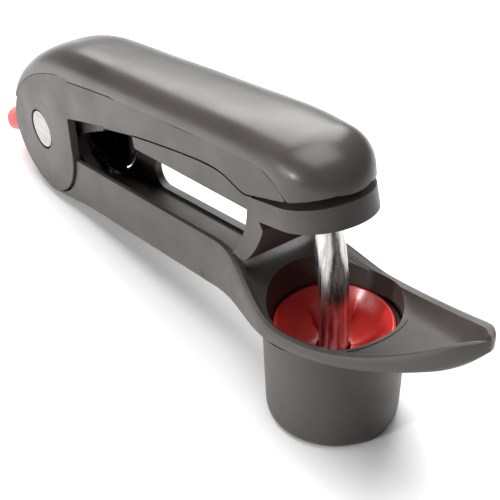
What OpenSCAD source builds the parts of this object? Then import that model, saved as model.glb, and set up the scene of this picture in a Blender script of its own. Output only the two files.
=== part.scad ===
// Hand-held cherry and olive stoner. Millimetres. X runs from the hinge to the spout, Z is up.
// It stands on the rim of its outlet cup and on the round rear end of its lower body.

/* [Overall] */
// Distance from the hinge pin to the plunger, which is also the plunger's bending radius
reach = 123.6; // [100:0.1:150]
// Height of the bowl's floor above the table
floor_z = 30.2; // [26:0.1:38]
// Distance from the plunger to the tip of the spout
spout_reach = 45.3; // [37:0.1:56]

/* [Lower body] */
// Outside width of the lower handle
handle_width = 22; // [19:0.1:26]
// Height of the lower handle's sides
handle_height = 14.6; // [12:0.1:18]
// Thickness of the lower handle's sides
wall = 2.2; // [1.8:0.1:2.7]
// Outside width of the bowl
bowl_width = 34.2; // [33.4:0.1:42]
// Radius of the body's round rear end, measured from the hinge pin
rear_radius = 22.8; // [21.6:0.1:26]

/* [Outlet cup and seat] */
// Outside radius of the outlet cup where it stands on the table
cup_radius = 16.1; // [15.6:0.1:19]
// Outside radius of the soft seat
seat_radius = 14.1; // [12:0.1:14.3]
// Number of slits around the seat's opening
slit_count = 6; // [4:1:8]

/* [Lever] */
// Outside width of the upper lever
lever_width = 23.6; // [21:0.1:28]
// Height of the lever's back above the hinge pin
lever_crown = 28.75; // [27:0.1:34]
// Radius of the ears that hang over the hinge
ear_radius = 19.5; // [17:0.1:20.5]
// Thickness of the lever's side plates
plate = 2.5; // [2.2:0.1:3]

/* [Guard] */
// Thickness of the guard's front plate
guard_plate = 5.4; // [4.6:0.1:6.4]
// Height of the guard's side rails
rail_height = 5.4; // [4.5:0.1:6]

/* [Plunger and hinge] */
// Diameter of the plunger rod
rod_diameter = 7; // [5.8:0.1:8.2]
// Diameter of the hinge pin
pin_diameter = 6; // [5:0.1:7.2]
// Diameter of the pin's flat heads
head_diameter = 11.2; // [9.4:0.1:13.4]
// Angle the lever opens to
lever_open = 30; // [26:1:32]

/* [Hidden] */
$fn = 64;
k = reach / 123.6;
pin_z = rear_radius;
rise = floor_z - 7.3 + (22.8 - rear_radius);
tilt = atan(rise / reach);
hw = handle_width / 2;
lw = (lever_width + handle_width - 22) / 2; // the lever keeps its step past the handle
bw = bowl_width / 2;
rr = rod_diameter / 2;
pr = pin_diameter / 2;
hr = head_diameter / 2;
run_gap = 0.05;
base_top = -5.15;
base_low = base_top - handle_height;
floor_q = base_low + 3;
rim_z = floor_z + 0.8;
tip_angle = asin((8 - pin_z) / reach);
top_angle = 20.9;
cross = asin(11.05 / reach);
nose_p = reach * cos(cross);
cover_w = 1.8;
edge_q = lever_crown - 6.5;
barrel_r = (lw * lw + 6.5 * 6.5) / 13;
barrel_q = lever_crown - barrel_r;
deck_low = lever_crown - 11.5;
deck_top = deck_low + 1.8;
cheek_out = hw - 2;
cheek_in = cheek_out - 1.8;
lug_out = cheek_in - 0.3;
lug_in = lug_out - 2;
tooth_r = 14.7;
tooth_angle = 25;
seat_z = floor_z - 4.5;
cup_top = floor_z - 6;
front_x = spout_reach;
rear_x = -reach - (rear_radius + 11.6) * cos(tilt) + 8.6 * sin(tilt) - 2.8;
mid_x = (front_x + rear_x) / 2;
block_y = 6.6 * lw / 11.8;
window_p0 = 29 * k;
window_p1 = 84 * k;

// Places a piece drawn about the rod's axis at table height
module at_bowl() { translate([-mid_x, 0, 0]) children(); }
// Places a piece drawn about the hinge pin, with X along the handle
module at_pin() { translate([-mid_x - reach, 0, pin_z]) rotate([0, -tilt, 0]) children(); }
// Extrudes a side view across the tool, from one Y to another
module across(y0, y1) {
    translate([0, y1, 0]) rotate([90, 0, 0]) linear_extrude(height = y1 - y0) children();
}
// Round bar along Y
module bar_y(r, y0, y1) { translate([0, y1, 0]) rotate([90, 0, 0]) cylinder(r = r, h = y1 - y0); }

// Height of a line parallel to the handle, q above the pin, at distance x from the rod
function line_z(x, q) = pin_z + (x + reach) * tan(tilt) + q / cos(tilt);
function blend(t) = t * t * (3 - 2 * t);
// Half width of the body seen from above
function half_w(x) = x < -34 * k ? hw - 0.04
    : x < -2 ? hw - 0.04 + (bw - hw + 0.04) * blend((x + 34 * k) / (34 * k - 2))
    : x < 0 ? bw : bw * pow(max(0, 1 - pow(x / spout_reach, 2)), 0.75);
// Height of the body's top edge: handle, dip behind the bowl, spout sweeping up
function top_z(x) = x < -28 ? line_z(x, base_top)
    : x < 0 ? let(t = (x + 28) / 28, a = line_z(-28, base_top))
        a * (1 - blend(t)) + rim_z * blend(t) + 28 * tan(tilt) * (t * (1 - t) * (1 - t))
        - 4.5 * t * t * (1 - t)
    : rim_z + 0.16 * x * 45.3 / spout_reach + 0.0073 * pow(x * 45.3 / spout_reach, 2);
// Height of the rim band's lower edge
function low_z(x) = line_z(x, base_low) + (x < -8 ? 0 : 0.0045 * pow((x + 8) * 53.3 / (spout_reach + 8), 2));
// Height of the bowl's floor
function bed_z(x) = x < 13 ? floor_z : floor_z + 0.0205 * pow((x - 13) * 32.3 / (spout_reach - 13), 2);
// Lever's lower edge
function arch_q(p) = p < 93 * k ? let(t = (p - 21) / (93 * k - 21)) 8.4 + 7.75 * t + 4.4 * t * (1 - t)
    : p < 110.6 * k ? 12.95 + 1.6 * (1 + cos(180 * pow((p - 93 * k) / (17.6 * k), 1.8)))
    : 12.95 + 0.18 * (p - 110.6 * k);
// Parting line between the lever's side plates and its cover
function part_q(p) = edge_q + 0.35 - 0.00055 * pow((p - 85 * k) / k, 2);

module body_plan(cut, first, last) {
    n = 44;
    xs = [for (i = [0:n]) first + (last - first) * sin(90 * i / n)];
    polygon(concat([for (x = xs) [x, -max(0.5, half_w(x) - cut)]],
        [for (i = [n:-1:0]) [xs[i], max(0.5, half_w(xs[i]) - cut)]]));
}

module body_band(first, last) {
    n = 40;
    polygon(concat([for (i = [0:n]) let(x = first + (last - first) * i / n) [x, top_z(x)]],
        [for (i = [n:-1:0]) let(x = first + (last - first) * i / n) [x, low_z(x)]]));
}

// Everything above the bowl's floor, or above the band's lower edge where that is higher
module above_bed(first, last, band) {
    n = 24;
    polygon(concat([[first, 80], [first, floor_z + 8]],
        [for (i = [0:n]) let(x = -14.9 + (last + 14.9) * i / n)
            [x, max(bed_z(x), band ? low_z(x) + 1.6 : 0)]],
        [[last, 80]]));
}

// Bowl with its spout, drawn about the rod's axis
module bowl_shape() {
    difference() {
        union() {
            intersection() {
                linear_extrude(height = 90) body_plan(0, -40 * k, front_x);
                across(-bw - 1, bw + 1) body_band(-40 * k, front_x);
            }
            intersection() {
                translate([0, 0, cup_top]) linear_extrude(height = 40) body_plan(2, -27, spout_reach - 2.5);
                across(-bw, bw) belly();
            }
            translate([0, 0, cup_top - 8]) cylinder(r = seat_radius, h = 12);
            translate([0, 0, seat_z - 4.2]) cylinder(r = seat_radius + 1.2, h = 8);
        }
        intersection() {
            translate([0, 0, 10]) linear_extrude(height = 80) body_plan(1.5, -24, spout_reach - 1.5);
            across(-bw, bw) above_bed(-23, spout_reach - 1.5, true);
        }
        intersection() {
            translate([0, 0, 10]) linear_extrude(height = 80) body_plan(3.9, -24, spout_reach - 4.5);
            across(-bw, bw) above_bed(-23, spout_reach - 4.5, false);
        }
        translate([0, 0, seat_z])
            cylinder(r1 = seat_radius + 0.25, r2 = seat_radius + 1.3, h = floor_z - seat_z + 0.01);
        translate([0, 0, seat_z - 3]) cylinder(r = seat_radius + 0.25, h = 3.01);
        translate([0, 0, cup_top - 9]) cylinder(r = seat_radius - 1.1, h = 20);
    }
}

// Floor and inner wall of the bowl seen from the side
module belly() {
    n = 30;
    last = spout_reach - 2.5;
    polygon(concat([for (i = [0:n]) let(x = -27 + (last + 27) * i / n) [x, top_z(x) - 0.6]],
        [for (i = [n:-1:0]) let(x = -27 + (last + 27) * i / n) [x, x < -10 ? line_z(x, base_low) + 0.8
            : max(cup_top, bed_z(x) - 1.8)]]));
}

// Round rear end, turned about the hinge pin with rounded corners
module rear_round() {
    lip = ear_radius + 0.9;
    step = rear_radius - lip;
    rotate([90, 0, 0]) rotate_extrude($fn = 128) polygon(concat([[0, -hw]],
        [for (i = [0:6]) let(a = 15 * i) [lip + step * sin(a), -hw + 3.6 - 3.6 * cos(a)]],
        [for (i = [6:-1:0]) let(a = 15 * i) [lip + step * sin(a), hw - 3.6 + 3.6 * cos(a)]],
        [[0, hw]]));
}

// Underside between the round rear end and the straight handle
module rear_fair() {
    x0 = -rear_radius * sin(tilt);
    y0 = -rear_radius * cos(tilt);
    n = 12;
    polygon(concat([[x0, base_low + 3]],
        [for (i = [0:n]) let(s = i / n) [x0 + (26 - x0) * s, y0 + (base_low - y0) * blend(s)]],
        [[26, base_low + 3]]));
}

module lower_body() color("DimGray") {
    difference() {
        union() {
            at_bowl() bowl_shape();
            at_pin() difference() {
                union() {
                    intersection() {
                        rear_round();
                        across(-hw - 1, hw + 1) translate([-60, -60]) square([60.5, 60 + base_top - 3.45]);
                    }
                    across(-hw + 1.4, hw - 1.4) rear_fair();
                    across(-hw, hw) translate([0, base_low]) square([reach - 38 * k, handle_height]);
                }
                // channel with a stepped lip
                across(-hw + wall, hw - wall) union() {
                    translate([0, floor_q]) square([95 * k, 60]);
                    difference() {
                        circle(r = rear_radius - 2.4, $fn = 128);
                        translate([-40, -80 + floor_q]) square([80, 80]);
                    }
                }
                across(-hw + 1.3, hw - 1.3) translate([ear_radius + 2, base_top - 2.3])
                    square([95 * k - ear_radius - 2, 20]);
                // seats for the lever's ears
                for (s = [0, 1]) mirror([0, s, 0])
                    across(cheek_out, hw + 1) circle(r = ear_radius + 0.4, $fn = 128);
            }
            // cheeks that carry the pin
            at_pin() for (s = [0, 1]) mirror([0, s, 0]) {
                across(cheek_in, cheek_out) union() {
                    difference() {
                        circle(r = rear_radius - 1.2, $fn = 128);
                        translate([-40, base_top - 3.45]) square([80, 60]);
                        translate([-40, base_low - 40]) square([80, 40.6]);
                    }
                    translate([-7, base_top - 8]) square([14, 8 - base_top]);
                    circle(r = 8.4);
                }
                // ledge that the lock slides on
                across(lug_in + 0.4, cheek_in + 0.2) translate([-19, base_top - 5]) square([8, 1.6]);
            }
        }
        // opening through the far side of the handle
        at_pin() across(hw - wall - 1, hw + 1) union() {
            translate([window_p0 + 5, floor_q]) square([window_p1 - window_p0 - 10, 8.4]);
            translate([window_p0, floor_q + 4.2]) square([window_p1 - window_p0, 0.4]);
            for (p = [window_p0 + 4.2, window_p1 - 4.2]) translate([p, floor_q + 4.2]) circle(r = 4.2);
        }
        at_pin() bar_y(pr + 0.02, -hw - 1, hw + 1);
        // the table trims the round rear end and the collar below the bowl
        translate([-300, -100, -50]) cube([600, 200, 50]);
    }
}

module outlet_cup() color("DimGray") at_bowl() difference() {
    cylinder(r1 = cup_radius, r2 = cup_radius + 0.7, h = floor_z - 2.1);
    translate([0, 0, -1]) cylinder(r1 = cup_radius - 1.7, r2 = cup_radius - 1.2, h = floor_z);
    translate([0, 0, seat_z - 4.5]) cylinder(r = max(cup_radius - 0.45, seat_radius + 1.5), h = 20);
    across(-30, 30) polygon([[-30, line_z(-30, base_low) - 0.3], [30, line_z(30, base_low) - 0.3],
        [30, 60], [-30, 60]]);
}

module cherry_seat() color("Firebrick") at_bowl() difference() {
    span = seat_radius - rr - 1.6;
    union() {
        translate([0, 0, seat_z - 2.7]) cylinder(r = seat_radius, h = 2.7);
        translate([0, 0, seat_z - 6])
            cylinder(r1 = rr + 2.2 + span * 0.5, r2 = rr + 1.2 + span * 0.86, h = 3.35);
        translate([0, 0, seat_z - 8.6]) cylinder(r1 = rr + 1.6, r2 = rr + 2.2 + span * 0.5, h = 2.65);
    }
    translate([0, 0, seat_z - 2.4]) cylinder(r1 = rr + 0.4 + span * 0.84, r2 = rr + 0.4 + span, h = 2.45);
    translate([0, 0, seat_z - 4.9])
        cylinder(r1 = rr + 0.4 + span * 0.52, r2 = rr + 0.4 + span * 0.84, h = 2.55);
    translate([0, 0, seat_z - 7.1]) cylinder(r1 = rr + 0.4, r2 = rr + 0.4 + span * 0.52, h = 2.25);
    translate([0, 0, seat_z - 9]) cylinder(r = rr + 0.4, h = 3);
    for (i = [0:slit_count - 1]) rotate([0, 0, 360 / slit_count * (i + 0.5)])
        translate([rr - 1, -0.25, seat_z - 10]) cube([rr * 0.6 + 4, 0.5, 8]);
}

module seat_ring() color("DimGray") at_bowl() translate([0, 0, seat_z - 11]) difference() {
    cylinder(r = seat_radius - 1.35, h = 4.7);
    translate([0, 0, -1]) cylinder(r = seat_radius - 3.2, h = 7);
}

module hinge_pin() color("Silver") at_pin() union() {
    bar_y(pr, -lw + 0.5, lw - 1.35);
    bar_y(hr, -lw + 0.25, -lw + 1.25);
}

module pin_cap() color("Silver") at_pin() difference() {
    bar_y(hr, lw - 1.3, lw - 0.3);
    bar_y(pr + 0.02, lw - 2, lw - 1.0);
}

module hinge_washers() color("Gainsboro") at_pin() for (s = [0, 1]) mirror([0, s, 0]) difference() {
    bar_y(pr + 2.6, cheek_out + 0.02, lw - plate - 0.02);
    bar_y(pr + 0.06, cheek_out - 1, lw);
}

module spring_sleeve() color("Gainsboro") at_pin() difference() {
    bar_y(pr + 1.6, -lug_in + 0.1, lug_in - 0.1);
    bar_y(pr + 0.06, -lug_in, lug_in);
}

// Close-wound torsion spring drawn as touching turns, with two straight ends
module coil(y0, turns, a_low, len_low, a_up, len_up) {
    wire = 0.75;
    mean = pr + 1.6 + wire + 0.3;
    for (i = [0:turns - 1]) translate([0, y0 + i * 1.42, 0]) rotate([90, 0, 0])
        rotate_extrude() translate([mean, 0]) circle(r = wire, $fn = 24);
    rotate([0, -a_low, 0]) translate([0, y0, -mean]) rotate([0, 90, 0])
        cylinder(r = wire - 0.06, h = len_low, $fn = 24);
    rotate([0, -a_up, 0]) translate([0, y0 + (turns - 1) * 1.42, mean]) rotate([0, 90, 0])
        cylinder(r = wire - 0.06, h = len_up, $fn = 24);
}

module lever_spring() color("LightSteelBlue") at_pin()
    coil(-lug_in + 1, 2, -34, 20, 48, 17);

module guard_spring() color("LightSteelBlue") at_pin()
    coil(lug_in - 2.5, 2, -34, 20, -0.9, 26);

module lock_tab() color("Firebrick") at_pin() union() {
    // tab outside the body
    across(-hw + 1.6, hw - 1.6) difference() {
        union() {
            translate([-rear_radius - 3, -4.3]) circle(r = 5);
            translate([-rear_radius - 11.6, -8.6]) circle(r = 2.8);
            polygon([[-rear_radius - 1.2, 0.3], [-rear_radius - 10.4, -6.1], [-rear_radius - 13.2, -10.9],
                [-rear_radius - 1, -9.4]]);
        }
        circle(r = rear_radius + 0.5, $fn = 128);
    }
    // stem, neck and cross bar of the catch
    across(-6, 6) translate([-rear_radius - 3, base_top - 3.1]) square([rear_radius - 7.2, 3.7]);
    across(-2.5, 2.5) translate([-13.4, base_top - 1]) square([3.2, 2 - base_top]);
    across(-lug_out, lug_out) translate([-13.4, 0.6]) square([3.2, 4.4]);
}

// Guard's front plate and its splash wall, seen from the side
module guard_side() {
    n = 12;
    c = cross;
    foot = base_top + 0.3;
    function back(q) = 110.6 * k - 0.0315 * pow(max(0, 12.3 - q), 2);
    polygon(concat([[nose_p, 11.05 + guard_plate / 2],
        [111 * k, 11.05 + guard_plate / 2 - (nose_p - 111 * k) * tan(c)]],
        [for (i = [0:n]) let(q = 11.6 + (foot - 11.6) * i / n) [back(q), q]],
        [for (i = [n:-1:0]) let(q = 5.6 + (foot - 5.6) * i / n) [back(q) + 5.6 + 0.08 * (q - foot), q]],
        [[114.6 * k, 11.05 - guard_plate / 2 - (nose_p - 114.6 * k) * tan(c)],
            [nose_p, 11.05 - guard_plate / 2]]));
}

module guard_arm() color("DimGray") difference() {
    union() {
        at_pin() across(-lw, lw) guard_side();
        at_pin() rotate([0, -cross, 0]) intersection() {
            translate([reach, 0, -guard_plate / 2]) cylinder(r = lw, h = guard_plate, $fn = 96);
            translate([reach - 0.6, -lw, -guard_plate]) cube([lw + 2, 2 * lw, 2 * guard_plate]);
        }
        // rails under the lever's sides, stepping inwards to the hub
        at_pin() for (s = [0, 1]) mirror([0, s, 0]) {
            intersection() {
                across(lug_in - 1, lw + 1) rail_side(24 * k, 113 * k);
                translate([0, 0, -30]) linear_extrude(height = 60) rail_plan();
            }
            across(lug_in, lug_out) union() {
                hub_side();
                circle(r = pr + 4.2);
            }
        }
        at_pin() across(-lug_in - 0.2, lug_in + 0.2)
            translate([24 * k, arch_q(24 * k) - 2.6]) square([4, 2]);
    }
    // hollow behind the splash wall
    at_pin() across(-lw + 2, lw - 2) polygon([[96 * k, -12], [103.6 * k - 0.4, -12], [105.8 * k, 2],
        [109.6 * k, 9.2], [96 * k, 9.2]]);
    at_pin() bar_y(pr + run_gap, -lw - 1, lw + 1);
    at_pin() rotate([0, -cross, 0]) translate([reach, 0, -20]) cylinder(r = rr + 1.9, h = 40);
}

// Rail seen from the side, kept under the lever's lower edge
module rail_side(p0, p1) {
    n = 60;
    function up(p) = min(arch_q(p) - 0.34, 15.9 - 0.012 * (p - 80 * k));
    polygon(concat([for (i = [0:n]) let(p = p0 + (p1 - p0) * i / n) [p, up(p)]],
        [for (i = [n:-1:0]) let(p = p0 + (p1 - p0) * i / n)
            [p, min(up(p) - 3, 15.3 - rail_height - 0.02 * (p - 75 * k))]]));
}

// One rail seen from above: hub arm, step outwards, outer rail
module rail_plan() {
    n = 12;
    w = lw - lug_out;
    function step_y(p) = w * blend(min(1, max(0, (p - 52 * k) / (9 * k))));
    polygon(concat([for (i = [0:n]) let(p = 50 * k + 13 * k * i / n) [p, lug_out + step_y(p)]],
        [[113 * k, lw], [113 * k, lw - plate + 0.1]],
        [for (i = [n:-1:0]) let(p = 50 * k + 13 * k * i / n) [p + 1.2, lug_in + step_y(p) * (w - 0.4) / w]],
        [[24 * k, lug_in], [24 * k, lug_out]]));
}

// Arm from the rails down to the hub, seen from the side
module hub_side() polygon([[0, pr + 4.2], [24 * k, arch_q(24 * k) - 0.9], [33 * k, arch_q(33 * k) - 1.2],
    [33 * k, arch_q(33 * k) - 4], [22 * k, 3], [3, -pr - 2.6]]);

module rod_bush() color("Gainsboro") at_pin() rotate([0, -cross, 0])
    translate([reach, 0, -guard_plate / 2 + 0.2]) difference() {
        cylinder(r = rr + 1.85, h = guard_plate - 0.4);
        translate([0, 0, -1]) cylinder(r = rr + 0.3, h = guard_plate + 2);
    }

// Whole lever seen from the side
module lever_side(cut) {
    n = 60;
    a = 48.5 - cut;
    b = lever_crown - cut;
    lo = 21;
    hi = nose_p + lw + 1;
    polygon(concat(
        [for (i = [0:n]) let(p = lo + (hi - lo) * i / n) [p, arch_q(p)]],
        [[hi, b]],
        [for (i = [0:24]) let(t = 90 * i / 24) [29.2 * k - a * sin(t), b * cos(t)]],
        [[29.2 * k - a, -2], [0, -2], [ear_radius - 0.4, -2], [ear_radius + 0.6, 4]]));
}

module below_part() {
    n = 40;
    a = 15.5;
    polygon(concat([[-80, -60]],
        [for (i = [0:n]) let(p = -40 + (112 * k + 40) * i / n) [p, part_q(p) - 0.15]],
        [for (i = [1:15]) let(t = 90 * i / 15)
            [112 * k + (a - 0.15) * sin(t), part_q(112 * k) - 0.15 - 12 * (1 - cos(t))]],
        [[112 * k + a - 0.15, -60]]));
}

module above_part() {
    n = 40;
    a = 15.5;
    polygon(concat([[-80, 80]], [for (i = [0:n]) let(p = -40 + (112 * k + 40) * i / n) [p, part_q(p) + 0.1]],
        [for (i = [1:15]) let(t = 90 * i / 15)
            [112 * k + (a + 0.1) * sin(t), part_q(112 * k) + 0.1 - 12 * (1 - cos(t))]],
        [[112 * k + a + 0.1, -60], [200, -60], [200, 80]]));
}

// Barrel-backed solid with a domed nose, cut = distance inside the outer skin
module lever_solid(cut) {
    r = barrel_r - cut;
    w = lw - cut;
    intersection() {
        union() {
            intersection() {
                translate([-60, 0, barrel_q]) rotate([0, 90, 0]) cylinder(r = r, h = nose_p + 60, $fn = 128);
                translate([-60, -w, edge_q - 4]) cube([nose_p + 60, 2 * w, 40]);
            }
            translate([-60, -w, -30]) cube([nose_p + 60, 2 * w, 27 + edge_q]);
            translate([nose_p, 0, -30]) intersection() {
                translate([0, -w, 0]) cube([w + 1, 2 * w, 90]);
                rotate_extrude($fn = 128) difference() {
                    intersection() {
                        translate([0, barrel_q + 30]) circle(r = r, $fn = 128);
                        translate([0, edge_q + 25]) square([w, 40]);
                    }
                }
            }
            translate([nose_p, 0, -30]) intersection() {
                translate([0, -w, 0]) cube([w + 1, 2 * w, 90]);
                cylinder(r = w, h = 30 + edge_q - 0.01, $fn = 128);
            }
        }
        across(-lw - 1, lw + 1) lever_side(cut);
    }
}

module lever_frame() color("DimGray") at_pin() difference() {
    union() {
        for (s = [0, 1]) mirror([0, s, 0]) across(lw - plate, lw) union() {
            intersection() {
                lever_side(0.6);
                below_part();
                translate([-80, -60]) square([80 + nose_p, 120]);
            }
            intersection() {
                circle(r = ear_radius, $fn = 128);
                below_part();
            }
        }
        // deck under the cover
        intersection() {
            across(-lw + plate - 0.2, lw - plate + 0.2) translate([-3.2, deck_low])
                square([nose_p + 12, deck_top - deck_low]);
            union() {
                translate([-20, -lw, 0]) cube([nose_p + 20, 2 * lw, 40]);
                translate([nose_p, 0, 0]) cylinder(r = lw - cover_w - 0.4, h = 40);
            }
        }
        // rear wall between the ears
        across(-lw + plate - 0.2, lw - plate + 0.2) intersection() {
            difference() {
                circle(r = ear_radius - 0.4, $fn = 128);
                circle(r = ear_radius - 2.2, $fn = 128);
            }
            polygon([[0, 0], [-40 * cos(tooth_angle - 3), 40 * sin(tooth_angle - 3)], [-40, deck_low - 0.4],
                [0, deck_low - 0.4]]);
        }
        across(-lw + plate - 0.2, lw - plate + 0.2) translate([-7, deck_low - 1.8]) square([6, 1.4]);
        across(-lw + plate - 0.2, lw - plate + 0.2) translate([-3.2, deck_low - 1.8]) square([2, 3]);
        // teeth that the lock's cross bar catches
        for (s = [0, 1]) mirror([0, s, 0]) across(3.3, lug_out) rotate(-tooth_angle)
            translate([-ear_radius + 1.2, -1]) square([ear_radius - 1.2 - tooth_r, 2]);
        // rib across the front of the deck
        across(-lw + plate - 0.2, lw - plate + 0.2) translate([100 * k, deck_low - 0.2]) square([2, 2]);
    }
    bar_y(pr + run_gap, -lw - 1, lw + 1);
    for (s = [0, 1]) mirror([0, s, 0]) bar_y(hr + 0.5, lw - 1.35, lw + 1);
    // way for the plunger and the screws
    rotate([0, -cross, 0]) translate([reach, 0, -30]) cylinder(r = rr + 0.6, h = 60);
    for (s = [-1, 1]) translate([nose_p - 3.4, s * block_y, deck_low - 5]) cylinder(r = 1.35, h = 12);
    for (p = cover_screw_p()) translate([p, 0, deck_low - 5]) cylinder(r = 1.65, h = 12);
}

function cover_screw_p() = [16 * k, 92 * k];

module lever_cover() color("Gray") at_pin() difference() {
    union() {
        difference() {
            intersection() {
                lever_solid(0);
                across(-lw - 1, lw + 1) above_part();
            }
            lever_solid(cover_w);
        }
        for (p = cover_screw_p()) translate([p, 0, deck_top + 0.05])
            cylinder(r = 3.1, h = min(lever_crown - 1, 28.75 * 0.995) - deck_top - (p < 20 ? 1.6 : 0.6));
    }
    for (p = cover_screw_p()) translate([p, 0, deck_top - 1]) cylinder(r = 1.2, h = 7.2);
}

module plunger() color("Silver") at_pin() rotate([90, 0, 0]) rotate([0, 0, tip_angle - tilt])
    rotate_extrude(angle = top_angle - tip_angle, $fn = 192) translate([reach, 0]) circle(r = rr, $fn = 48);

module plunger_block() color("SlateGray") at_pin() difference() {
    translate([nose_p - 7, -block_y - 1.5, deck_top + 0.05])
        cube([11.2, 2 * block_y + 3, min(3.4, 0.3 * barrel_r)]);
    rotate([0, -asin((deck_top + 1.7) / reach), 0])
        translate([reach, 0, -9]) cylinder(r = rr + 0.08, h = 18);
    for (s = [-1, 1]) translate([nose_p - 3.4, s * block_y, deck_top - 1]) cylinder(r = 1.02, h = 4);
}

module screw(r, len, head) union() {
    translate([0, 0, -1.5]) cylinder(r = head, h = 1.5);
    cylinder(r = r, h = len);
}

module block_screws() color("LightSteelBlue") at_pin() for (s = [-1, 1])
    translate([nose_p - 3.4, s * block_y, deck_low - 0.02]) screw(1, 4.3, 1.9);

module cover_screws() color("LightSteelBlue") at_pin() for (p = cover_screw_p())
    translate([p, 0, deck_low - 0.02]) screw(1.15, 7, 2.6);

lower_body();
outlet_cup();
cherry_seat();
seat_ring();
hinge_pin();
pin_cap();
hinge_washers();
spring_sleeve();
lever_spring();
guard_spring();
lock_tab();
guard_arm();
rod_bush();
lever_frame();
lever_cover();
plunger();
plunger_block();
block_screws();
cover_screws();
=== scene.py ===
import bpy
import bmesh
import math
import numpy as np
from mathutils import Matrix, Vector


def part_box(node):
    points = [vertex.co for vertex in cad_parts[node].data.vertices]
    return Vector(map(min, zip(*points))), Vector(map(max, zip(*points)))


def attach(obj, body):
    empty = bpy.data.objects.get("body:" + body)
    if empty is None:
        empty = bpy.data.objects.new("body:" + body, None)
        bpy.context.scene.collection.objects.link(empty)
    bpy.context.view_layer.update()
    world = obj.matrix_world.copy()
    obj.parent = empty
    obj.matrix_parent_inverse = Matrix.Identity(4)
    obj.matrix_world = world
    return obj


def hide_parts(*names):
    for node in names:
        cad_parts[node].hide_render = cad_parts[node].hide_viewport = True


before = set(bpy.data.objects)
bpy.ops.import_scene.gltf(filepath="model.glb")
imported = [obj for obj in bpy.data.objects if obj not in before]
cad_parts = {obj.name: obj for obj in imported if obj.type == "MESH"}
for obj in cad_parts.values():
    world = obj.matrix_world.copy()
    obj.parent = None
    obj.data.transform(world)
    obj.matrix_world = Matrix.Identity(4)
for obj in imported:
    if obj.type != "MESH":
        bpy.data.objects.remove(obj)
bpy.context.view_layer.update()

mm = 0.001  # all shapes below are worked out in millimetres

# the CAD gives the places: rod axis, hinge, end of the spout
lo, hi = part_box("outlet_cup")
rodX = (lo.x + hi.x) / 2 * 1000
lo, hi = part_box("hinge_pin")
hingeX, hingeZ = (lo.x + hi.x) / 2 * 1000, (lo.z + hi.z) / 2 * 1000
lo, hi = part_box("lower_body")
tipX = hi.x * 1000
print("frame loaded, rod at", round(rodX, 2), "hinge at", round(hingeX, 2), round(hingeZ, 2))
print("spout ends at", round(tipX, 2))

handle = dict(
    reach=123.6, rise=22.9,  # hinge to rod, along and up
    half=11.0, top=-5.15, low=-19.75,
    wall=2.2, lip=1.3, ledge=2.3, edge=0.45, fillet=1.6, floor=2.0,
    rear=22.8, recess=19.95, rearFloor=2.35,
    corner=(1.2, 1.1), rearCorner=(3.4, 2.5),
)
handle["tilt"] = math.atan(handle["rise"] / handle["reach"])
cosT, sinT, tanT = math.cos(handle["tilt"]), math.sin(handle["tilt"]), math.tan(handle["tilt"])


# from hinge coordinates to the row frame: p runs along the handle, q stands square on it
def at(p, y, q):
    p, y, q = np.broadcast_arrays(np.asarray(p, float), np.asarray(y, float), np.asarray(q, float))
    return np.stack([hingeX + p * cosT - q * sinT, y, hingeZ + p * sinT + q * cosT], -1)


# ease from 0 to 1: three t squared less two t cubed
def smooth(t):
    t = np.clip(t, 0, 1)
    return t * t * (3 - 2 * t)


# turns the faces out when the shell encloses a negative volume
def outward(ob):
    bm = bmesh.new()
    bm.from_mesh(ob.data)
    bmesh.ops.recalc_face_normals(bm, faces=bm.faces)
    if bm.calc_volume(signed=True) < 0:
        bmesh.ops.reverse_faces(bm, faces=bm.faces)
    bm.to_mesh(ob.data)
    bm.free()


def selectOnly(objects):
    for ob in bpy.context.selected_objects:
        ob.select_set(False)
    for ob in objects:
        ob.select_set(True)
    bpy.context.view_layer.objects.active = objects[0]


def joined(name, parts):
    selectOnly(parts)
    bpy.ops.object.join()
    parts[0].name = name
    return parts[0]


def tidyMesh(ob, angle=35):
    selectOnly([ob])
    bpy.ops.object.mode_set(mode="EDIT")
    bpy.ops.mesh.select_all(action="SELECT")
    bpy.ops.mesh.remove_doubles(threshold=1e-6)
    bpy.ops.object.mode_set(mode="OBJECT")
    outward(ob)
    bpy.ops.object.shade_smooth_by_angle(angle=math.radians(angle))


def meshFrom(name, verts, faces, angle=35):
    me = bpy.data.meshes.new(name)
    me.from_pydata((np.asarray(verts) * mm).tolist(), [], [list(map(int, f)) for f in faces])
    me.validate()
    ob = bpy.data.objects.new(name, me)
    bpy.context.scene.collection.objects.link(ob)
    tidyMesh(ob, angle)
    return ob


# quads of a row-major grid: a point, the one in the next row, that one's neighbour, its own neighbour
def gridFaces(nu, nv, closeU=False, closeV=False, start=0):
    i = np.arange(nu if closeU else nu - 1)[:, None]
    j = np.arange(nv if closeV else nv - 1)[None, :]
    i2, j2 = (i + 1) % nu, (j + 1) % nv
    quads = np.stack(np.broadcast_arrays(i * nv + j, i2 * nv + j, i2 * nv + j2, i * nv + j2), -1)
    return quads.reshape(-1, 4) + start


# closed solid from rings of points, capped at both ends
def tube(name, rings, angle=35):
    nu, nv = rings.shape[:2]
    faces = [list(f) for f in gridFaces(nu, nv, closeV=True)]
    faces += [list(range(nv))[::-1], list(range((nu - 1) * nv, nu * nv))]
    return meshFrom(name, rings.reshape(-1, 3), faces, angle)


# turned solid: a closed outline of (radius, height) carried round the rod's axis
def lathe(name, profile, segments=96):
    a = (np.arange(segments) * 2 * np.pi / segments)[:, None]
    r, z = np.asarray(profile, float).T
    pts = np.stack([rodX + np.cos(a) * r, np.sin(a) * r, np.broadcast_to(z, (segments, len(z)))], -1)
    return meshFrom(name, pts.reshape(-1, 3), gridFaces(segments, len(z), True, True))


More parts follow.
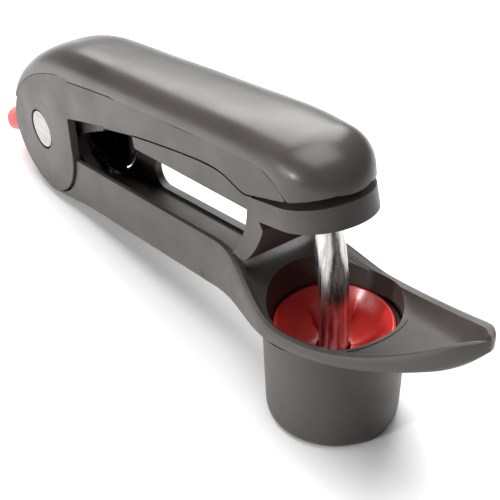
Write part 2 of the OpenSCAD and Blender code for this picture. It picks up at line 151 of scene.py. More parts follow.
# plain slabs given by their p, y and q limits
def boxes(name, slabs):
    sides = ((0, 3, 2, 1), (4, 5, 6, 7), (0, 1, 5, 4), (1, 2, 6, 5), (2, 3, 7, 6), (3, 0, 4, 7))
    verts, faces = [], []
    for p0, p1, y0, y1, q0, q1 in slabs:
        start = len(verts) * 8
        verts.append(at([p0, p1, p1, p0] * 2, [y0, y0, y1, y1] * 2, [q0] * 4 + [q1] * 4))
        faces += [[start + k for k in side] for side in sides]
    return meshFrom(name, np.concatenate(verts), faces)


# both halves of a section from the half at positive y
def mirrored(half):
    return np.concatenate([half, (half * [-1, 1])[-2:0:-1]])


def cutAway(ob, cutter):
    mod = ob.modifiers.new("cut", "BOOLEAN")
    mod.operation, mod.object, mod.solver = "DIFFERENCE", cutter, "EXACT"
    me = bpy.data.meshes.new_from_object(ob.evaluated_get(bpy.context.evaluated_depsgraph_get()))
    ob.modifiers.clear()
    ob.data = me
    bpy.data.objects.remove(cutter)
    return ob


def bevel(ob, width, segments=2, limit=40):
    mod = ob.modifiers.new("bevel", "BEVEL")
    mod.width, mod.segments = width * mm, segments
    mod.limit_method, mod.angle_limit = "ANGLE", math.radians(limit)
    mod.harden_normals = True
    return ob


def plug(tree, socket, value):
    if isinstance(value, Wire):
        tree.links.new(value.socket, socket)
    else:
        socket.default_value = value


# one node: its settings first, then a value or a link for each socket
def addNode(tree, kind, settings, inputs, out=0):
    node = tree.nodes.new(kind)
    for key, value in settings.items():
        setattr(node, key, value)
    for key, value in inputs.items():
        plug(tree, node.inputs[key], value)
    return Wire(tree, node.outputs[out])


# a socket that adds, subtracts and multiplies like a number
class Wire:
    def __init__(self, tree, socket):
        self.tree = tree
        self.socket = socket

    def calc(self, operation, a, b):
        return addNode(self.tree, "ShaderNodeMath", {"operation": operation}, {0: a, 1: b})

    def __add__(self, other):
        return self.calc("ADD", self, other)

    def __mul__(self, other):
        return self.calc("MULTIPLY", self, other)

    def __sub__(self, other):
        return self.calc("SUBTRACT", self, other)

    def __rsub__(self, other):
        return self.calc("SUBTRACT", other, self)

    __radd__ = __add__
    __rmul__ = __mul__

    # eases from one value to another while the socket runs from low to high
    def span(self, low, high, first=0.0, last=1.0):
        inputs = {0: self, 1: low, 2: high, 3: first, 4: last}
        return addNode(self.tree, "ShaderNodeMapRange", {"interpolation_type": "SMOOTHSTEP"}, inputs)


# one material and its node tree
class Paint:
    def __init__(self, name):
        self.mat = bpy.data.materials.new(name)
        self.mat.use_nodes = True
        self.tree = self.mat.node_tree
        self.bsdf = self.tree.nodes["Principled BSDF"]
        self.place = self.node("ShaderNodeTexCoord", {}, {}, "Object")

    def node(self, kind, settings, inputs, out=0):
        return addNode(self.tree, kind, settings, inputs, out)

    def noise(self, scale, detail=3.0, rough=0.55, stretch=(1, 1, 1), turn=0.0):
        turned = {"Vector": self.place, "Scale": stretch, "Rotation": (0, turn, 0)}
        where = self.node("ShaderNodeMapping", {}, turned)
        look = {"Vector": where, "Scale": scale, "Detail": detail, "Roughness": rough}
        return self.node("ShaderNodeTexNoise", {}, look)

    # the Mix node's colours are its sockets 6 and 7, and its colour result is number 2
    def mix(self, a, b, factor):
        return self.node("ShaderNodeMix", {"data_type": "RGBA"}, {0: factor, 6: a, 7: b}, 2)

    def bump(self, height, strength, distance):
        look = {"Strength": strength, "Distance": distance, "Height": height}
        self.set({"Normal": self.node("ShaderNodeBump", {}, look)})

    def set(self, values):
        for key, value in values.items():
            plug(self.tree, self.bsdf.inputs[key], value)


def rgb(r, g, b):
    return (r, g, b, 1.0)


plastic = dict(mottle=38, fine=1500, wear=90, dust=420, tooth=3800, dustShare=0.22, coatRough=0.22, depth=0.00006)


# moulded plastic: slow mottling, fine grain, dust specks, handled patches that shine a little more
def moulded(name, dark, light, rough=(0.34, 0.46), grain=0.22, coat=0.0, gloss=0.32):
    p = Paint(name)
    slow, fine = p.noise(plastic["mottle"], 4), p.noise(plastic["fine"], 3, 0.6)
    wear, dust = p.noise(plastic["wear"], 5, 0.6), p.noise(plastic["dust"], 6, 0.65)
    base = p.mix(dark, light, slow.span(0.3, 0.72) * 0.7 + fine * 0.3)
    pale = rgb(*[min(1, c * 1.5 + 0.02) for c in light[:3]])
    base = p.mix(base, pale, dust.span(0.66, 0.8) * plastic["dustShare"])
    p.set({
        "Base Color": base,
        "Roughness": wear.span(0.3, 0.7, rough[0], rough[1]) + fine * 0.05,
        "Specular IOR Level": gloss,
        "Coat Weight": coat,
        "Coat Roughness": plastic["coatRough"],
    })
    p.bump(fine * 0.7 + p.noise(plastic["tooth"], 2) * 0.3, grain, plastic["depth"])
    return p.mat


drawn = dict(streak=900, cloud=120, pit=2400, tarnish=0.14, bump=0.22, depth=0.00004)


# drawn steel: long fine streaks, faint tarnish, small pits
def steel(name, stretch, turn, tone, rough):
    p = Paint(name)
    streak = p.noise(drawn["streak"], 4, 0.6, stretch, turn)
    cloud, pit = p.noise(drawn["cloud"], 4), p.noise(drawn["pit"], 2)
    shade = streak.span(0.3, 0.7, tone[0], tone[1]) - cloud.span(0.5, 0.8) * drawn["tarnish"]
    p.set({
        "Base Color": p.mix(rgb(0.05, 0.048, 0.045), rgb(0.98, 0.97, 0.96), shade),
        "Roughness": streak.span(0.25, 0.75, rough[0], rough[1]) + cloud * 0.06,
        "Metallic": 1.0,
    })
    p.bump(streak * 0.6 + pit * 0.4, drawn["bump"], drawn["depth"])
    return p.mat


rubber = dict(mottle=70, fine=1300, speck=300, speckShare=0.25, coat=0.18, coatRough=0.18, bump=0.12, depth=0.00006)


# soft red seat: waxy, mottled, with paler specks
def silicone():
    p = Paint("redSilicone")
    slow, fine = p.noise(rubber["mottle"], 4), p.noise(rubber["fine"], 3)
    speck = p.noise(rubber["speck"], 6, 0.7)
    base = p.mix(rgb(0.40, 0.018, 0.015), rgb(0.58, 0.036, 0.030), slow.span(0.3, 0.7))
    base = p.mix(base, rgb(0.70, 0.07, 0.05), speck.span(0.62, 0.8) * rubber["speckShare"])
    p.set({
        "Base Color": base,
        "Roughness": slow.span(0.3, 0.7, 0.26, 0.38) + fine * 0.05,
        "Subsurface Weight": 0.12,
        "Subsurface Radius": (0.004, 0.0008, 0.0006),
        "Coat Weight": rubber["coat"],
        "Coat Roughness": rubber["coatRough"],
    })
    p.bump(fine, rubber["bump"], rubber["depth"])
    return p.mat


greyPlastic = moulded("greyPlastic", rgb(0.033, 0.0275, 0.0245), rgb(0.053, 0.0465, 0.0425))
darkPlastic = moulded("darkPlastic", rgb(0.018, 0.0155, 0.014), rgb(0.029, 0.0255, 0.0235), (0.42, 0.6))
coverPlastic = moulded("coverPlastic", rgb(0.033, 0.028, 0.0255), rgb(0.052, 0.046, 0.043), (0.27, 0.36), 0.14, 0.08)
redPlastic = moulded("redPlastic", rgb(0.36, 0.026, 0.022), rgb(0.46, 0.044, 0.038), (0.3, 0.42), 0.15, 0.0, 0.12)
nylon = moulded("whiteNylon", rgb(0.62, 0.6, 0.55), rgb(0.78, 0.77, 0.73), (0.4, 0.55))
rodSteel = steel("rodSteel", (1, 1, 0.05), 0.0, (0.22, 0.72), (0.16, 0.34))
pinSteel = steel("pinSteel", (0.06, 1, 1), -0.18, (0.26, 0.42), (0.32, 0.44))
springSteel = steel("springSteel", (1, 0.3, 1), 0.0, (0.5, 0.7), (0.2, 0.35))
redSilicone = silicone()
print("materials ready")


def dress(ob, mat, body=None, nodes=()):
    ob.data.materials.clear()
    ob.data.materials.append(mat)
    if body:
        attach(ob, body)
    if nodes:
        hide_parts(*nodes)
    return ob


bowl = dict(
    floor=30.2, rim=31.0, half=17.1, tip=45.3,
    dipStart=28, dipSag=4.5,  # the rim leaves the handle's top line this far behind the rod
    rimSlope=0.16, rimCurve=0.0073,  # and climbs to the spout
    saddle=34.0, bandRound=2.6, lipRound=1.15, inset=3.2,
)


# height of a line at q beside the hinge's line, over x from the rod
def lineZ(x, q):
    return hingeZ + (x + handle["reach"]) * tanT + q / cosT


# half the width: eased from handle to bowl, then a power of one less the square of x over the tip,
# with a share of its root that squares off the very end
def halfWidth(x):
    blendIn = handle["half"] + (bowl["half"] - handle["half"]) * smooth((x + 34) / 32)
    u, v = np.clip(1 - (x / bowl["tip"]) ** 2, 0, 1), np.clip(x / bowl["tip"], 0, 1)
    nose = bowl["half"] * (u ** 0.75 + 0.25 * u ** 0.5 * v ** 8)
    return np.where(x < 0, blendIn, nose)


# the last millimetres of the spout fall off with the square of the way along them
def tipFall(x):
    return 1.7 * np.clip((x - 39.5) / 5.8, 0, None) ** 2


# upper edge: the handle's top line, a sagging ease down to the rim, then a parabola up to the spout
def topZ(x):
    start = bowl["dipStart"]
    t = (x + start) / start
    ease = smooth(t)
    lean = start * tanT * t * (1 - t) ** 2
    dip = lineZ(-start, handle["top"]) * (1 - ease) + bowl["rim"] * ease + lean - bowl["dipSag"] * t * t * (1 - t)
    spout = bowl["rim"] + bowl["rimSlope"] * x + bowl["rimCurve"] * x * x - tipFall(x)
    return np.where(x < -start, lineZ(x, handle["top"]), np.where(x < 0, dip, spout))


# lower edge of the rim band: the handle's bottom line, plus a parabola, plus a steeper power near the tip
def bandLowZ(x):
    rise = np.where(x < -8, 0, 0.0040 * (x + 8) ** 2)
    return lineZ(x, handle["low"]) + rise + 3.0 * np.clip((x - 37) / 8.3, 0, None) ** 2.5


# inner floor: saddle behind the seat, eased flat beside it, a parabola up into the spout
def bedZ(x):
    back = 34.2 + 0.1 * (x + 15)
    mid = bowl["floor"] + (bowl["saddle"] - bowl["floor"]) * smooth((-6 - x) / 9.5)
    spout = bowl["floor"] + 0.0205 * np.clip(x - 13, 0, None) ** 2 - tipFall(x)
    return np.where(x < -15.5, back, np.where(x < 13, mid, spout))


quarter = np.radians(np.linspace(0, 90, 6))


# half outline of the channel as (y, height): bottom centre, elliptic corner, wall, lip and ledge, rounded floor
def sectionHandle(w, top, floor, corner):
    cw, ch = corner
    edge, lip = handle["edge"], handle["lip"]
    ledge = min(handle["ledge"], max(0.3, (top - floor) * 0.25))
    inner = w - handle["wall"]
    r = min(handle["fillet"], max(0.2, (top - floor) * 0.3))
    pts = [[0, 0], [w * 0.35, 0], [w * 0.7, 0]]
    pts += [[w - cw + cw * math.sin(k), ch - ch * math.cos(k)] for k in quarter]
    pts += [[w, ch + (top - edge - ch) * s] for s in (0.33, 0.66, 1)]
    pts += [[w - edge * 0.3, top - edge * 0.3], [w - edge, top]]
    pts += [[w - lip + 0.15, top], [w - lip, top - 0.15], [w - lip, top - ledge]]
    pts += [[inner, top - ledge - 0.15], [inner, floor + r + (top - ledge - floor - r) * 0.5]]
    pts += [[inner - r + r * math.cos(k), floor + r - r * math.sin(k)] for k in quarter]
    pts += [[inner * s, floor] for s in (0.6, 0.3)] + [[0, floor]]
    return np.array(pts)


# half outline of the bowl: belly, hanging band with a round lip, hollow falling as a power of the way in
def sectionBowl(w, top, low, floor):
    belly = max(0.3, w - bowl["inset"])
    band = top - low
    r = min(bowl["bandRound"], w * 0.45)
    e = min(bowl["lipRound"], w * 0.3)
    inner = max(0.34 * w, w - e * 2.2)
    depth = top - e * 0.9 - floor
    k = np.linspace(0.12, 1, 9)
    pts = [[0, 0], [belly * 0.45, 0], [belly * 0.85, 0.1]]
    pts += [[w - r + r * math.sin(a), low + (r - r * math.cos(a)) * 0.9] for a in quarter]
    pts += [[w + 0.1 * math.sin(math.pi * s), low + r * 0.9 + (band - r * 0.9 - e) * s] for s in (0.33, 0.66, 1)]
    pts += [[w - e * 0.3, top - e * 0.3], [w - e, top], [w - e * 1.9, top - e * 0.25], [w - e * 2.2, top - e * 0.9]]
    pts += np.stack([inner * (1 - 0.42 * k ** 1.2), floor + depth * (1 - k) ** 2.3], -1).tolist()
    pts += [[inner * 0.38, floor], [inner * 0.2, floor], [0, floor]]
    return np.array(pts)


# a channel section standing at (p, q) along its normal
def channelRing(p, q, normal, top, floor, corner):
    loop = mirrored(sectionHandle(handle["half"], top, floor, corner))
    return at(p + normal[0] * loop[:, 1], loop[:, 0], q + normal[1] * loop[:, 1])


# rear end: sections on a circle about the hinge, wall only as high as the recess for the lever's ears
def rearRings():
    rear, recess = handle["rear"], handle["recess"]
    floor, corner = handle["rearFloor"], handle["rearCorner"]
    rings = []
    for a in np.radians(np.linspace(201.5, 270 - math.degrees(handle["tilt"]), 26)):
        ca, sa = math.cos(a), math.sin(a)
        rings.append(channelRing(rear * ca, rear * sa, (-ca, -sa), rear - recess, floor, corner))
    # the circle eases into the straight bottom; the wall follows the recess up to the handle's top line
    pEnd, qEnd, straight = -rear * sinT, -rear * cosT, 26
    for p in np.concatenate([np.linspace(-3.2, 16, 14), np.linspace(17, 19.9, 9), np.linspace(20.3, straight, 5)]):
        s = (p - pEnd) / (straight - pEnd)
        q = qEnd + (handle["low"] - qEnd) * smooth(s)
        k = smooth((p + 4) / 14)
        normal = ((1 - k) * -pEnd / rear, (1 - k) * -qEnd / rear + k)
        recessTop = -math.sqrt(max(0, recess ** 2 - p * p)) if p < recess else math.inf
        top = min(recessTop, handle["top"]) - q
        eased = (corner[0] - 2.2 * smooth(s), corner[1] - 1.4 * smooth(s))
        rings.append(channelRing(p, q, normal, top, min(floor, top - 0.4), eased))
    height = handle["top"] - handle["low"]
    for p in np.linspace(29, 84, 20):
        rings.append(channelRing(p, handle["low"], (0, 1), height, handle["floor"], handle["corner"]))
    return rings


# upright sections that turn from channel into bowl: a weighted mean of the two outlines
def bowlRings():
    spread = 30 + (bowl["tip"] - 30) * np.sin(np.radians(np.linspace(6, 90, 30)))
    rings = []
    for x in np.concatenate([np.linspace(-38, -10, 36), np.linspace(-9, 30, 34), spread]):
        w = max(float(halfWidth(x)), 0.25)
        top, bandLow, bed = float(topZ(x)), float(bandLowZ(x)), float(bedZ(x))
        bottom = float(lineZ(x, handle["low"]))
        belly = bandLow + max(max(bed - 1.8, bottom + 0.6) - bandLow, 0) * float(smooth((x - 14) / 7))
        floor = bottom + handle["floor"]
        floor = min(floor + (bed - floor) * float(smooth((x + 29) / 7)), top - 0.9)
        channel = sectionHandle(w, top - bottom, max(floor - bottom, 1.5), handle["corner"]) + [0, bottom]
        hollow = sectionBowl(w, top - belly, bandLow - belly, max(floor - belly, 0.5)) + [0, belly]
        share = float(smooth((x + 36) / 20))
        loop = mirrored(channel * (1 - share) + hollow * share)
        rings.append(np.stack([np.full(len(loop), rodX + x), loop[:, 0], loop[:, 1]], -1))
    return rings


slot = dict(start=29, end=84, round=4.3, above=2.9, inside=6.0, outside=14.0)


# slot through the far wall: two half circles joined by straights
def slotCutter():
    a = np.radians(np.linspace(90, 270, 13))
    r = slot["round"]
    q = handle["low"] + slot["above"] + r
    first = np.stack([slot["start"] + r + r * np.cos(a), q + r * np.sin(a)], -1)
    last = np.stack([slot["end"] - r - r * np.cos(a), q - r * np.sin(a)], -1)
    path = np.concatenate([first, last])
    return tube("cut", np.array([at(path[:, 0], y, path[:, 1]) for y in (slot["inside"], slot["outside"])]))


def buildLower():
    ob = tube("lowerBody", np.array(rearRings() + bowlRings()), 32)
    # seat recess: a shallow cone above the seat, straight through below it
    recess = [[0.001, 10], [14.35, 10], [14.35, 25.9], [15.0, 28.0], [15.9, 33.2], [17.4, 41], [0.001, 41]]
    cutAway(ob, lathe("cut", recess))
    cutAway(ob, slotCutter())
    tidyMesh(ob, 32)
    return ob


lowerBody = dress(buildLower(), greyPlastic, "lower", ["lower_body"])
print("lower body", len(lowerBody.data.polygons), "faces")

cheek = dict(radius=8.4, inner=7.2, outer=9.0, foot=[(-10.5, -19.0), (10.5, -19.0)])


# plates inside the ears that carry the pin: an arc on a flat foot, run from the inner to the outer face
def buildCheeks():
    arc = np.radians(np.linspace(-12, 192, 34))
    disc = np.stack([cheek["radius"] * np.cos(arc), cheek["radius"] * np.sin(arc)], -1)
    outline = np.concatenate([disc, cheek["foot"]])
    n = len(outline)
    verts, faces = [], []
    for side, start in ((-1, 0), (1, 2 * n)):
        for y in (cheek["inner"], cheek["outer"]):
            verts.append(at(outline[:, 0], side * y, outline[:, 1]))
        faces += gridFaces(2, n, closeV=True, start=start).tolist()
        faces += [list(range(start, start + n)), list(range(start + n, start + 2 * n))]
    return meshFrom("hingeCheeks", np.concatenate(verts), faces)


hingeCheeks = dress(bevel(buildCheeks(), 0.3), darkPlastic, "lower")

# collar under the bowl that holds the seat: foot, step out to the rim, groove for the ring
collarOutline = [[13.0, 16.4], [14.1, 16.4], [14.1, 21.6], [15.2, 21.7]]
collarOutline += [[15.2, 25.0], [14.3, 25.0], [14.25, 22.8], [13.0, 22.7]]
seatCollar = dress(lathe("seatCollar", collarOutline), darkPlastic, "lower")
print("hinge cheeks and seat collar done")

cup = dict(
    foot=15.75, grow=0.97, height=32.2, corner=2.4,
    wall=1.6, topWall=0.95, bore=15.65, step=20.9,
    tuck=0.7,  # how far the wall runs up inside the rim band
    segments=128,
)


# cup wall: rings whose radius grows in proportion to height, none higher than just inside the rim band
def buildCup():
    a = np.arange(cup["segments"]) * 2 * np.pi / cup["segments"]
    rows = []

    def outer(z):
        return cup["foot"] + cup["grow"] * z / cup["height"]

    def ring(r, z):
        z = np.minimum(z, bandLowZ(r * np.cos(a)) + cup["tuck"])
        rows.append(np.stack([rodX + r * np.cos(a), r * np.sin(a), z], -1))

    for k in np.radians(np.linspace(0, 84, 9)):
        ring(outer(0) - cup["corner"] * (1 - math.sin(k)), cup["corner"] * (1 - math.cos(k)))
    for z in np.linspace(cup["corner"] + 0.5, cup["height"], 30):
        ring(outer(z), z)
    ring(outer(cup["height"]) - cup["topWall"], cup["height"])
    for z in np.linspace(cup["height"] - 0.4, cup["step"] + 0.3, 8):
        ring(cup["bore"], z)
    ring(outer(cup["step"]) - cup["wall"], cup["step"])
    for z in np.linspace(19, 1.6, 12):
        ring(outer(z) - cup["wall"] - 0.5 * max(0, 1 - z / 4), z)
    ring(outer(0) - cup["wall"] - 0.9, 0.3)
    grid = np.array(rows)
    return meshFrom("outletCup", grid.reshape(-1, 3), gridFaces(grid.shape[0], grid.shape[1], True, True), 40)


outletCup = dress(buildCup(), greyPlastic, "lower", ["outlet_cup"])

seat = dict(
    outer=14.1, dish=13.2, hole=3.95, top=25.7, deep=7.4, thick=1.5,
    petals=6, swell=0.75, around=240, across=34,
)


# dished disc: depth times one less a power of the way out, a sine swell on every petal, a groove between two
def buildSeat():
    a = np.arange(seat["around"]) * 2 * np.pi / seat["around"]
    s = np.linspace(0, 1, seat["across"])
    petal = np.abs(np.sin(a * seat["petals"] / 2 + 0.3))[:, None]
    depth = seat["deep"] * (1 - s ** 2.3)[None, :]
    groove = seat["swell"] * (1 - petal) ** 5 * (np.sin(np.pi * np.clip(s * 1.15, 0, 1)))[None, :] * 2.0
    swell = seat["swell"] * petal ** 1.2 * np.sin(np.pi * s[None, :]) ** 1.5
    dishZ = seat["top"] - depth + swell - groove
    dishR = np.broadcast_to(seat["hole"] + (seat["dish"] - seat["hole"]) * s, dishZ.shape)
    # the rolled edge, then the same surface again underneath
    edgeR = seat["outer"] - np.array([0.6, 0.3, 0.1, 0.0, 0.0, 0.5, 2.1])
    edgeZ = seat["top"] + np.array([0.02, -0.12, -0.4, -0.9, -2.5, -2.7, -2.75])
    edgeShape = (seat["around"], len(edgeR))
    underR = np.minimum(dishR[:, ::-1], 11.6)[:, 1:]
    underZ = np.minimum((dishZ[:, ::-1] - seat["thick"])[:, 1:], seat["top"] - 2.8)
    r = np.concatenate([dishR, np.broadcast_to(edgeR, edgeShape), underR], 1)
    z = np.concatenate([dishZ, np.broadcast_to(edgeZ, edgeShape), underZ], 1)
    grid = np.stack([rodX + r * np.cos(a)[:, None], r * np.sin(a)[:, None], z], -1)
    return meshFrom("cherrySeat", grid.reshape(-1, 3), gridFaces(grid.shape[0], grid.shape[1], True, True), 50)


cherrySeat = dress(buildSeat(), redSilicone, "lower", ["cherry_seat"])
print("cup and seat done")

lever = dict(
    half=11.8, crown=28.75, noseP=123.1,
    rearLong=48.4, rearP=29.2,  # the rear of the crown is a quarter of an ellipse
    drop=6.6, bow=2.7, fall=2.3, side=2.5, wall=1.6,
    noseFall=2.6, noseDrop=2.6,
    rearTurn=73,  # the cover stops here so that it clears the lock when the lever opens
    ear=19.5, sink=6.15,
)


# lower edge of the side plates: a bowed line, a cosine rise over the guard's plate, a slow line to the nose
def archQ(p):
    p = np.asarray(p, float)
    t = (p - 21) / 72
    bowed = 8.4 + 7.75 * t + 4.4 * t * (1 - t)
    rise = 12.95 + 1.6 * (1 + np.cos(np.pi * np.clip((p - 93) / 17.6, 0, 1) ** 1.8))
    return np.where(p < 93, bowed, np.where(p < 110.6, rise, 12.95 + 0.18 * (p - 110.6)))


# parting line between cover and frame: a flat parabola, then a quarter ellipse down round the nose
def partQ(p):
    p = np.asarray(p, float)
    flat = lever["crown"] - 6.5 + 0.35 - 0.00055 * (p - 85) ** 2
    s = np.clip((p - 112) / 15.5, 0, 1)
    bend = lever["crown"] - 6.15 - 0.00055 * 27 ** 2 - 12 * (1 - np.sqrt(1 - s * s))
    return np.where(p < 112, flat, bend)


# stations from the rear round to the nose: crown point, inward normal, drop to the side edge, way into the nose
def crownLine(rearTurn=88):
    rearLong, start, high = lever["rearLong"], lever["rearP"], lever["crown"]
    rows = []
    for t in np.radians(np.linspace(rearTurn, 2, 40)):
        n = np.array([high * math.sin(t), -rearLong * math.cos(t)])
        n /= np.hypot(*n)
        drop = 0.5 + (lever["drop"] - 0.5) * math.cos(t) ** 0.9
        rows.append((start - rearLong * math.sin(t), high * math.cos(t), n[0], n[1], drop, -1))
    for p in np.linspace(start, lever["noseP"], 48):
        rows.append((p, high, 0, -1, lever["drop"], -1))
    for f in np.radians(np.linspace(3, 90, 30)):
        d = lever["half"] * math.sin(f)
        rows.append((lever["noseP"] + d, high, 0, -1, lever["drop"], d))
    return rows


# cover: from every crown point an arch falls to the sides, one less the root of one less a power of the
# way across, and a straight skirt runs on down
def buildCover():
    half, rings = lever["half"], []
    arcCount, skirtCount = 41, 8
    across = np.sin(np.linspace(-np.pi / 2, np.pi / 2, arcCount))
    down = np.linspace(0, 1, skirtCount + 1)[1:]
    for px, qx, nx, ny, drop, d in crownLine(lever["rearTurn"]):
        w = half if d < 0 else math.sqrt(max(0.0, half ** 2 - d * d))
        y = w * across
        r = np.hypot(y, max(d, 0)) / half
        turn = float(np.clip((px - 104) / 31, 0, 1))
        ease = float(smooth(turn))
        bow, fall = lever["bow"] - 0.5 * ease, lever["fall"] - 0.2 * ease
        arch = 1 - np.clip(1 - r ** bow, 0, 1) ** (1 / fall)
        off = (drop + lever["noseDrop"] * turn ** 3) * arch + lever["noseFall"] * turn ** 2
        p, q = px + nx * off, qx + ny * off
        # the skirt ends at the parting line, or is a short tuck where the ears take over
        pe, qe = p[-1], q[-1]
        low = float(archQ(pe))
        if pe < 126.2:
            low = max(float(partQ(pe)) + 0.12, low if pe > 60 else -math.inf)
        if px < 20 or low > qe - 0.05:
            skirtP, skirtQ = pe + nx * 0.25 * down, qe + ny * 0.25 * down
        else:
            skirtP, skirtQ = np.full(skirtCount, pe), qe + (low - qe) * down
        allP = np.concatenate([skirtP[::-1], p, skirtP])
        allY = np.concatenate([np.full(skirtCount, -w), y, np.full(skirtCount, w)])
        allQ = np.concatenate([skirtQ[::-1], q, skirtQ])
        rings.append(at(allP, allY, allQ))
    grid = np.array(rings)
    ob = meshFrom("leverCover", grid.reshape(-1, 3), gridFaces(grid.shape[0], grid.shape[1]), 40)
    mod = ob.modifiers.new("wall", "SOLIDIFY")
    mod.thickness, mod.offset = lever["wall"] * mm, -1
    return ob


leverCover = dress(buildCover(), coverPlastic, "lever", ["lever_cover"])


# side plate as one closed (p, q) loop: round the ear, along the arch to the nose, back along the parting line
def plateOutline():
    ear = np.radians(np.linspace(185, 356, 90))
    low = [(lever["ear"] * math.cos(k), lever["ear"] * math.sin(k)) for k in ear]
    low += [(19.9, 1.2), (20.4, 4.6), (20.9, 8.0), (21.6, float(archQ(21.6)))]
    ps = np.concatenate([np.linspace(23, 93, 44), np.linspace(94, 125.1, 40)])
    low += [(p, float(archQ(p))) for p in ps]
    up = []
    for px, qx, nx, ny, drop, d in crownLine():
        if d < 0 and px < 27:
            up.append((px + nx * (drop + 0.3), qx + ny * (drop + 0.3)))
    edgeP, edgeQ = max(u[0] for u in up), up[-1][1]
    midQ = float(partQ(60))
    for p in ps:
        if p >= 60:
            up.append((p, float(partQ(p)) - 0.12))
        elif p > edgeP:
            eased = edgeQ + (midQ - edgeQ) * float(smooth((p - edgeP) / 30))
            up.append((p, min(float(partQ(p)), eased) - 0.12))
    loop = np.array(low + up[::-1])
    keep = np.concatenate([[True], np.hypot(*np.diff(loop, axis=0).T) > 0.02])
    return loop[keep]


# both plates: the loop stands at the cover's half width, round the nose on its circle, sunk for the pin's head
def buildFrame():
    p, q = plateOutline().T
    around = np.arange(64) * 2 * np.pi / 64
    sinkP, sinkQ = lever["sink"] * np.cos(around), lever["sink"] * np.sin(around)
    outside = np.sqrt(lever["half"] ** 2 - np.clip(p - lever["noseP"], 0, None) ** 2)
    plates = []
    for side in (-1, 1):
        plate = tube("plate", np.array([at(p, side * outside, q), at(p, side * (outside - lever["side"]), q)]))
        sink = tube("cut", np.array([at(sinkP, side * 10.2, sinkQ), at(sinkP, side * 14, sinkQ)]))
        plates.append(cutAway(plate, sink))
    ob = joined("leverFrame", plates)
    ob.data.shade_smooth()
    bpy.ops.object.shade_smooth_by_angle(angle=math.radians(35))
    return ob


leverFrame = dress(bevel(buildFrame(), 0.28, 2, 50), greyPlastic, "lever", ["lever_frame"])

# the deck between the side plates, and the rib under its front
leverDeck = boxes("leverDeck", [(-3.2, 126, -9.4, 9.4, 17.25, 19.05), (100, 102, -9.4, 9.4, 16.9, 17.3)])
dress(bevel(leverDeck, 0.25), darkPlastic, "lever")
print("lever done")

tab = dict(
    root=-23.2, end=-37.2, wide=9.4, tipWide=9.0, thick=5.0, tipThick=4.4,
    q=-4.0, sag=3.2, steps=30, around=48,
)


# round-ended paddle: sections along p, each a superellipse of width y and thickness q, sagging to the end
def buildTab():
    a = np.arange(tab["around"]) * 2 * np.pi / tab["around"]
    c, d = np.cos(a), np.sin(a)
    shapeY, shapeQ = np.sign(c) * np.abs(c) ** 0.55, np.sign(d) * np.abs(d) ** 0.75
    rings = []
    for s in np.linspace(0, 1, tab["steps"]):
        e = math.sqrt(max(0.0, 1 - (max(0.0, s - 0.76) / 0.24) ** 2.2))
        p = tab["root"] + (tab["end"] - tab["root"]) * s
        w = (tab["wide"] + (tab["tipWide"] - tab["wide"]) * s) * (0.66 + 0.34 * e)
        h = (tab["thick"] + (tab["tipThick"] - tab["thick"]) * smooth(s * 1.3)) * max(e, 0.04)
        rings.append(at(p, w * shapeY, tab["q"] - tab["sag"] * smooth(s) + h * shapeQ))
    return tube("lockTab", np.array(rings), 50)


lockTab = dress(buildTab(), redPlastic, "lock", ["lock_tab"])

# tongue that slides in the body, its upright, and the cross bar that stands under the lever's teeth
stemSlabs = [(-24.5, -8.8, -6, 6, -8.2, -4.6), (-13.4, -10.2, -2.5, 2.5, -6, 1), (-13.4, -10.2, -6.9, 6.9, 0.6, 5.0)]
lockStem = dress(bevel(boxes("lockStem", stemSlabs), 0.3), redPlastic, "lock")
print("lock done")

# CAD pieces that stay: material, and how far their edges are broken
looks = dict(
    guard_arm=(greyPlastic, 0.45), hinge_pin=(pinSteel, 0.12), pin_cap=(pinSteel, 0.12), plunger=(rodSteel, 0.3),
    rod_bush=(nylon, 0), seat_ring=(darkPlastic, 0.2), hinge_washers=(nylon, 0), spring_sleeve=(nylon, 0),
    lever_spring=(springSteel, 0), guard_spring=(springSteel, 0), plunger_block=(darkPlastic, 0.2),
    block_screws=(springSteel, 0), cover_screws=(springSteel, 0),
)
for name, (mat, soft) in looks.items():
    piece = dress(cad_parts[name], mat)
    if soft:
        bevel(piece, soft, 3, 42)
print("CAD pieces dressed")

studio = dict(floorHalf=6, floorDark=rgb(0.90, 0.90, 0.90), floorLight=rgb(0.93, 0.93, 0.93), world=0.06)
far = studio["floorHalf"]
floorMesh = bpy.data.meshes.new("floor")
floorMesh.from_pydata([(-far, -far, 0), (far, -far, 0), (far, far, 0), (-far, far, 0)], [], [(0, 1, 2, 3)])
floor = bpy.data.objects.new("floor", floorMesh)
bpy.context.scene.collection.objects.link(floor)
paper = Paint("paper")
paper.set({"Base Color": paper.mix(studio["floorDark"], studio["floorLight"], paper.noise(14, 3)), "Roughness": 0.7})
floor.data.materials.append(paper.mat)

world = bpy.data.worlds.new("studio")
world.use_nodes = True
background = world.node_tree.nodes["Background"]
background.inputs["Color"].default_value = (1, 1, 1, 1)
background.inputs["Strength"].default_value = studio["world"]
bpy.context.scene.world = world

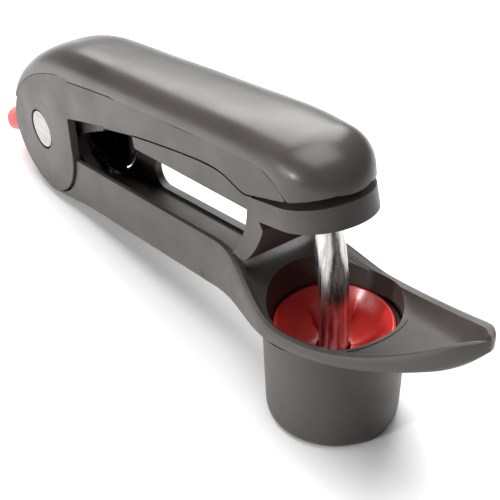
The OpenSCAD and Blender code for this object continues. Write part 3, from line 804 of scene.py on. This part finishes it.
# each lamp: place and aim in metres, size, watts
lamps = dict(
    overhead=((0.0, 0.05, 1.15), (0, 0, 0), (1.0, 1.0), 19.0),
    crestSoft=((-0.42, 0.28, 0.42), (0, 0, 0.05), (0.60, 0.50), 5.6),
    sideSoft=((-0.22, -0.60, 0.20), (0, 0, 0.04), (0.36, 0.30), 2.1),
    sideSpot=((0.05, -0.50, 0.20), (0.04, 0, 0.06), (0.055, 0.055), 1.5),
)
for name, (place, aim, size, watts) in lamps.items():
    lampData = bpy.data.lights.new(name, "AREA")
    lampData.shape, lampData.size, lampData.size_y, lampData.energy = "RECTANGLE", size[0], size[1], watts
    lamp = bpy.data.objects.new(name, lampData)
    bpy.context.scene.collection.objects.link(lamp)
    lamp.location = place
    lamp.rotation_mode = "QUATERNION"
    lamp.rotation_quaternion = (Vector(aim) - Vector(place)).to_track_quat("-Z", "Y")
print("floor and lamps done")

# camera: degrees round, up and rolled, and millimetres away from its aim, which is set from the rod's foot
shot = dict(
    around=56.156, up=35.251, roll=-1.982, away=286.64, aim=(-44.43, 3.07, 25.92),
    lens=80.76024, shift=(0.0328, -0.05),
)
az, el, ro = (math.radians(shot[key]) for key in ("around", "up", "roll"))
back = Vector((math.sin(az) * math.cos(el), -math.cos(az) * math.cos(el), math.sin(el)))
level = Vector((math.cos(az), math.sin(az), 0))
rise = back.cross(level)
right = level * math.cos(ro) + rise * math.sin(ro)
up = rise * math.cos(ro) - level * math.sin(ro)
spot = (Vector((rodX, 0, 0)) + Vector(shot["aim"]) + back * shot["away"]) * mm
camData = bpy.data.cameras.new("camera")
camera = bpy.data.objects.new("camera", camData)
bpy.context.scene.collection.objects.link(camera)
camera.matrix_world = Matrix([[right[i], up[i], back[i], spot[i]] for i in range(3)] + [[0, 0, 0, 1]])
camData.sensor_width, camData.lens = 36, shot["lens"]
camData.shift_x, camData.shift_y = shot["shift"]
camData.clip_start = 0.01
bpy.context.scene.camera = camera
bpy.context.scene.view_settings.view_transform = "Standard"

print("done")
